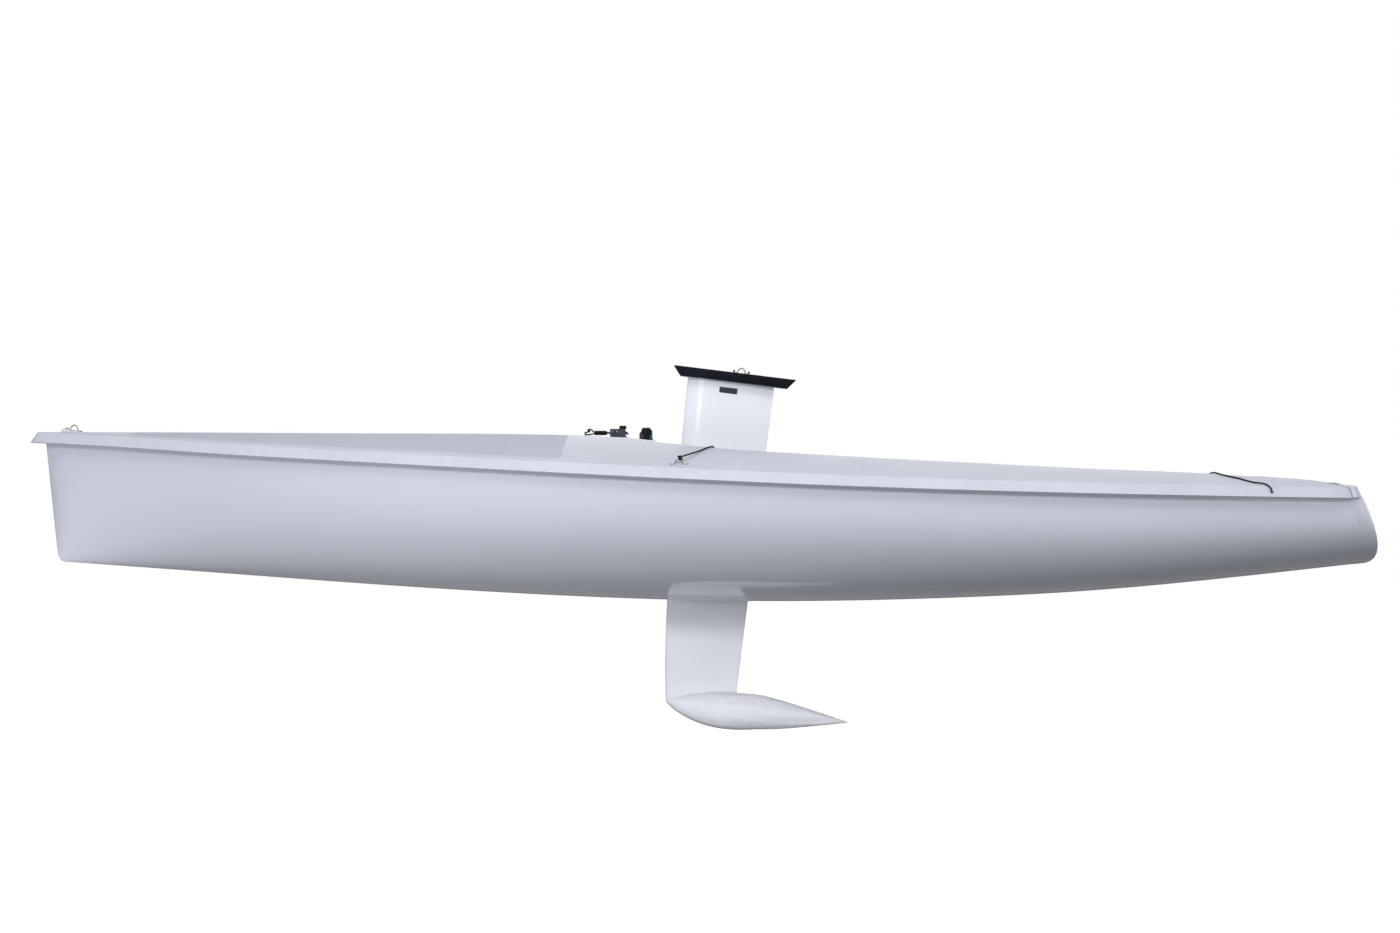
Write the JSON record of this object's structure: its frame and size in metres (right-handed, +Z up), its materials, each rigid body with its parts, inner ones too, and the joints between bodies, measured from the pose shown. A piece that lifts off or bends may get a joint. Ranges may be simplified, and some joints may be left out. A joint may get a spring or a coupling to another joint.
{
  "type": "small racing keelboat hull with a lifting keel",
  "caption": "Open racing sailing boat hull and deck with a cockpit, a raised lifting fin keel with a bulb, a hinged mast step, a cam cleat, pad eyes, hiking straps and rudder gudgeons.",
  "frame": {"origin": "middle of the flat top of the hinged mast heel tongue, with the tongue upright", "axes": "+X aft, +Y to starboard, +Z up, with the boat floating level"},
  "size_m": [5.86, 2.1044, 1.6122],
  "materials": {
    "hull_gelcoat": "glossy off-white gelcoat",
    "deck_gelcoat": "satin off-white gelcoat",
    "bare_laminate": "bare glass laminate",
    "keel_paint": "smooth pale paint on cast metal",
    "black_coated_steel": "black coated steel",
    "stainless_steel": "stainless steel",
    "grey_alloy": "grey anodised alloy",
    "black_nylon": "black moulded nylon",
    "black_cord": "black braided cord",
    "black_webbing": "black woven webbing",
    "slide_plastic": "pale slippery plastic",
    "grey_foil": "bare grey plate"
  },
  "bodies": {
    "hull": {"aft_bulkhead": "bare_laminate", "aft_tie_cord_port": "black_cord", "aft_tie_cord_starboard": "black_cord", "bow_backing_plate": "stainless_steel", "bow_bulkhead": "bare_laminate", "bow_eye_screw_aft": "stainless_steel", "bow_eye_screw_fore": "stainless_steel", "bow_pad_eye": "stainless_steel", "chain_backing_port": "stainless_steel", "chain_backing_starboard": "stainless_steel", "chain_eye_port": "stainless_steel", "chain_eye_starboard": "stainless_steel", "chain_screw_port_aft": "stainless_steel", "chain_screw_port_fore": "stainless_steel", "chain_screw_starboard_aft": "stainless_steel", "chain_screw_starboard_fore": "stainless_steel", "cleat_base": "grey_alloy", "cleat_fairlead": "black_nylon", "control_line": "black_cord", "deck_moulding": "deck_gelcoat", "drain_pipe_port": "slide_plastic", "drain_pipe_starboard": "slide_plastic", "floor_stringer_port": "bare_laminate", "floor_stringer_starboard": "bare_laminate", "fore_tie_cord_port": "black_cord", "fore_tie_cord_starboard": "black_cord", "grip_loop": "black_cord", "hiking_strap_port": "black_webbing", "hiking_strap_starboard": "black_webbing", "hull_shell": "hull_gelcoat", "jaw_pin_port": "stainless_steel", "jaw_pin_starboard": "stainless_steel", "keel_trunk": "hull_gelcoat", "line_grip": "black_nylon", "lower_gudgeon": "stainless_steel", "lower_gudgeon_bolt_port": "stainless_steel", "lower_gudgeon_bolt_starboard": "stainless_steel", "lower_keel_guide": "slide_plastic", "main_bulkhead": "bare_laminate", "mast_hinge_pin": "stainless_steel", "mast_step_base": "black_nylon", "small_deck_eye": "stainless_steel", "upper_gudgeon": "stainless_steel", "upper_gudgeon_bolt_port": "stainless_steel", "upper_gudgeon_bolt_starboard": "stainless_steel", "upper_keel_guide": "slide_plastic"},
    "keel": {"keel_fin": "keel_paint", "keel_bulb": "keel_paint", "keel_head_plate": "black_coated_steel", "head_bolt_1": "stainless_steel", "head_bolt_2": "stainless_steel", "head_bolt_3": "stainless_steel", "bulb_bolt_1": "stainless_steel", "bulb_bolt_2": "stainless_steel", "lifting_eye": "stainless_steel", "data_plate": "grey_foil"},
    "mast_heel": {"mast_heel_tongue": "grey_alloy"},
    "jaw_port": {"cleat_jaw_port": "grey_alloy"},
    "jaw_starboard": {"cleat_jaw_starboard": "grey_alloy"}
  },
  "joints": [
    {"name": "keel_lift", "type": "slide", "parent": "hull", "child": "keel", "axis": [0.1219, 0, 0.9925], "range_m": [-0.31, 0.36]},
    {"name": "mast_hinge", "type": "hinge", "parent": "hull", "child": "mast_heel", "pos_m": [0, 0, -0.028], "axis": [0, 1, 0], "range_deg": [0, 85]},
    {"name": "cleat_jaw_port", "type": "hinge", "parent": "hull", "child": "jaw_port", "pos_m": [-0.139, -0.0144, -0.026], "axis": [0, 0, 1], "range_deg": [0, 40], "stiffness_Nm_per_rad": 0.02, "springref_deg": -17.19},
    {"name": "cleat_jaw_starboard", "type": "hinge", "parent": "hull", "child": "jaw_starboard", "pos_m": [-0.139, 0.0144, -0.026], "axis": [0, 0, -1], "range_deg": [0, 40], "stiffness_Nm_per_rad": 0.02, "springref_deg": -17.19}
  ]
}
